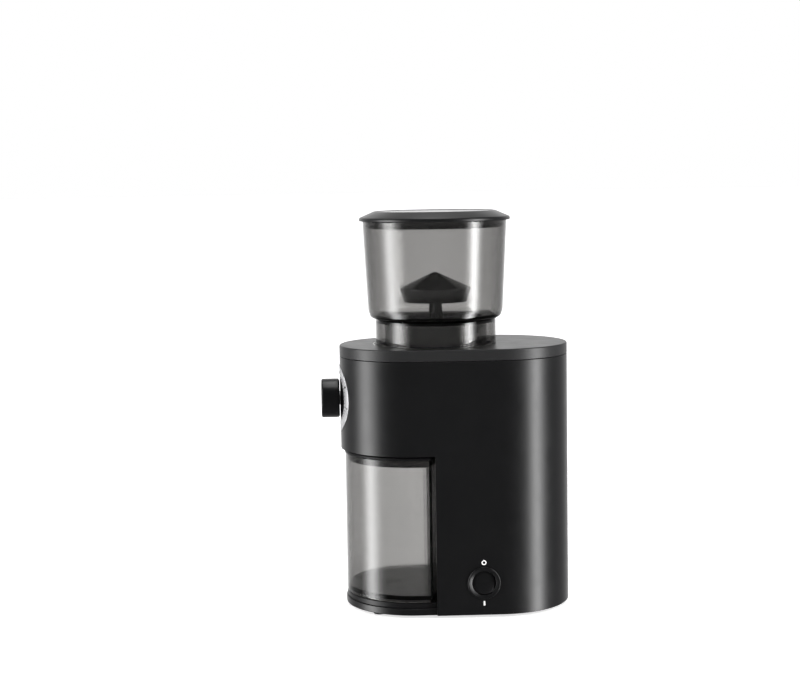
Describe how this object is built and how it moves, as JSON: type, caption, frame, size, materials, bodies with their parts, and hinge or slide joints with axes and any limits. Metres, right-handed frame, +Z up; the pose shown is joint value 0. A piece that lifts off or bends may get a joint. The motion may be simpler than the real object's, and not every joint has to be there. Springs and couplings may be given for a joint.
{
  "type": "burr coffee grinder",
  "caption": "Electric burr coffee grinder with a lift-off bean hopper, removable ring burr set, side power rocker, front grind knob and a slide-out grounds container.",
  "frame": {"origin": "on the table, under the middle of the whole grinder's box", "axes": "+Z up, front with the knob towards -Y, power rocker towards +X"},
  "size_m": [0.132, 0.2164, 0.3469],
  "materials": {
    "black_plastic": "satin moulded",
    "dark_plastic": "fine texture",
    "gloss_black": "smooth moulded",
    "grey_plastic": "satin moulded",
    "smoked_clear": "smoked transparent plastic",
    "brushed_steel": "brushed",
    "bright_ring": "polished",
    "dial_silver": "satin",
    "white_ink": "printed",
    "dark_ink": "printed",
    "black_rubber": "matte",
    "gear_nylon": "moulded nylon",
    "bronze": "sintered",
    "motor_steel": "zinc plated",
    "copper_winding": "varnished",
    "board_green": "lacquered"
  },
  "bodies": {
    "housing": {"housing_shell": "black_plastic", "top_cover": "black_plastic", "bay_wall": "dark_plastic", "head_floor": "dark_plastic", "base_plate": "dark_plastic", "tray_cover": "black_plastic", "rubber_feet": "black_rubber", "base_screws": "brushed_steel", "dial_ring": "dial_silver", "dial_marks": "dark_ink", "switch_bezel": "gloss_black", "switch_body": "dark_plastic", "printed_marks": "white_ink", "burr_collar": "bright_ring", "grind_chamber": "dark_plastic", "chamber_ring": "dark_plastic", "chute": "dark_plastic", "gearbox_case": "dark_plastic", "gearbox_lid": "dark_plastic", "case_screws": "brushed_steel", "upper_bearing": "bright_ring", "lower_bush": "bronze", "idler_pin": "brushed_steel", "motor_can": "motor_steel", "motor_end_bell": "dark_plastic", "motor_mount": "brushed_steel", "control_board": "board_green", "interlock_switch": "dark_plastic", "cord_inlet": "black_rubber", "knob_bush": "brushed_steel", "shaft_seal": "black_rubber"},
    "adjuster": {"adjuster_ring": "dark_plastic"},
    "burr_set": {"burr_carrier": "gloss_black", "ring_burr": "brushed_steel", "burr_oring": "black_rubber"},
    "bail": {"bail": "brushed_steel"},
    "hopper": {"hopper_bowl": "smoked_clear", "hopper_funnel": "dark_plastic", "bean_guard": "gloss_black", "hopper_gasket": "black_rubber"},
    "hopper_lid": {"lid_brim": "black_plastic", "lid_disc": "grey_plastic", "lid_seal": "black_rubber"},
    "jar": {"jar_body": "smoked_clear", "jar_lid": "grey_plastic", "jar_seal": "black_rubber"},
    "knob": {"knob_cap": "black_plastic", "knob_shaft": "brushed_steel", "knob_pinion": "brushed_steel", "knob_pointer": "white_ink"},
    "rocker": {"rocker_button": "gloss_black"},
    "drive": {"cone_burr": "brushed_steel", "drive_shaft": "brushed_steel", "impeller": "dark_plastic", "burr_nut": "brushed_steel", "drive_gear": "gear_nylon"},
    "idler": {"compound_gear": "gear_nylon"},
    "rotor": {"motor_shaft": "brushed_steel", "motor_pinion": "bronze", "armature": "copper_winding"}
  },
  "joints": [
    {"name": "hopper_lift", "type": "slide", "parent": "housing", "child": "hopper", "axis": [0, 0, 1], "range_m": [0, 0.119]},
    {"name": "lid_close", "type": "slide", "parent": "hopper", "child": "hopper_lid", "axis": [0, 0, -1], "range_m": [-0.045, 0]},
    {"name": "grind_adjust", "type": "hinge", "parent": "housing", "child": "adjuster", "pos_m": [0, -0.00675, 0.19], "axis": [0, 0, 1], "range_deg": [0, 43]},
    {"name": "burr_set_lift", "type": "slide", "parent": "adjuster", "child": "burr_set", "axis": [0, 0, 1], "range_m": [0, 0.0731]},
    {"name": "bail_raise", "type": "hinge", "parent": "burr_set", "child": "bail", "pos_m": [0, -0.00675, 0.2195], "axis": [0, -1, 0], "range_deg": [0, 90.1]},
    {"name": "jar_slide", "type": "slide", "parent": "housing", "child": "jar", "axis": [0, -1, 0], "range_m": [0, 0.1148]},
    {"name": "knob_turn", "type": "hinge", "parent": "housing", "child": "knob", "pos_m": [0, -0.1, 0.184], "axis": [0, -1, 0], "range_deg": [-270, 0]},
    {"name": "rocker_tip", "type": "hinge", "parent": "housing", "child": "rocker", "pos_m": [0.062, 0.02805, 0.0303], "axis": [0, -1, 0], "range_deg": [-18, 0]},
    {"name": "motor_spin", "type": "hinge", "parent": "housing", "child": "rotor", "pos_m": [0, 0.05325, 0.1], "axis": [0, 0, 1], "continuous": true},
    {"name": "idler_spin", "type": "hinge", "parent": "housing", "child": "idler", "pos_m": [0, 0.02325, 0.15], "axis": [0, 0, 1], "continuous": true},
    {"name": "drive_spin", "type": "hinge", "parent": "housing", "child": "drive", "pos_m": [0, -0.00675, 0.18], "axis": [0, 0, 1], "continuous": true}
  ],
  "couplings": [
    {"joint": "grind_adjust", "follows": "knob_turn", "ratio": -0.1579},
    {"joint": "burr_set_lift", "follows": "hopper_lift", "ratio": 0.61345},
    {"joint": "bail_raise", "follows": "hopper_lift", "rad_per_m": 13.2},
    {"joint": "idler_spin", "follows": "motor_spin", "ratio": -0.25},
    {"joint": "drive_spin", "follows": "motor_spin", "ratio": 0.0625}
  ]
}
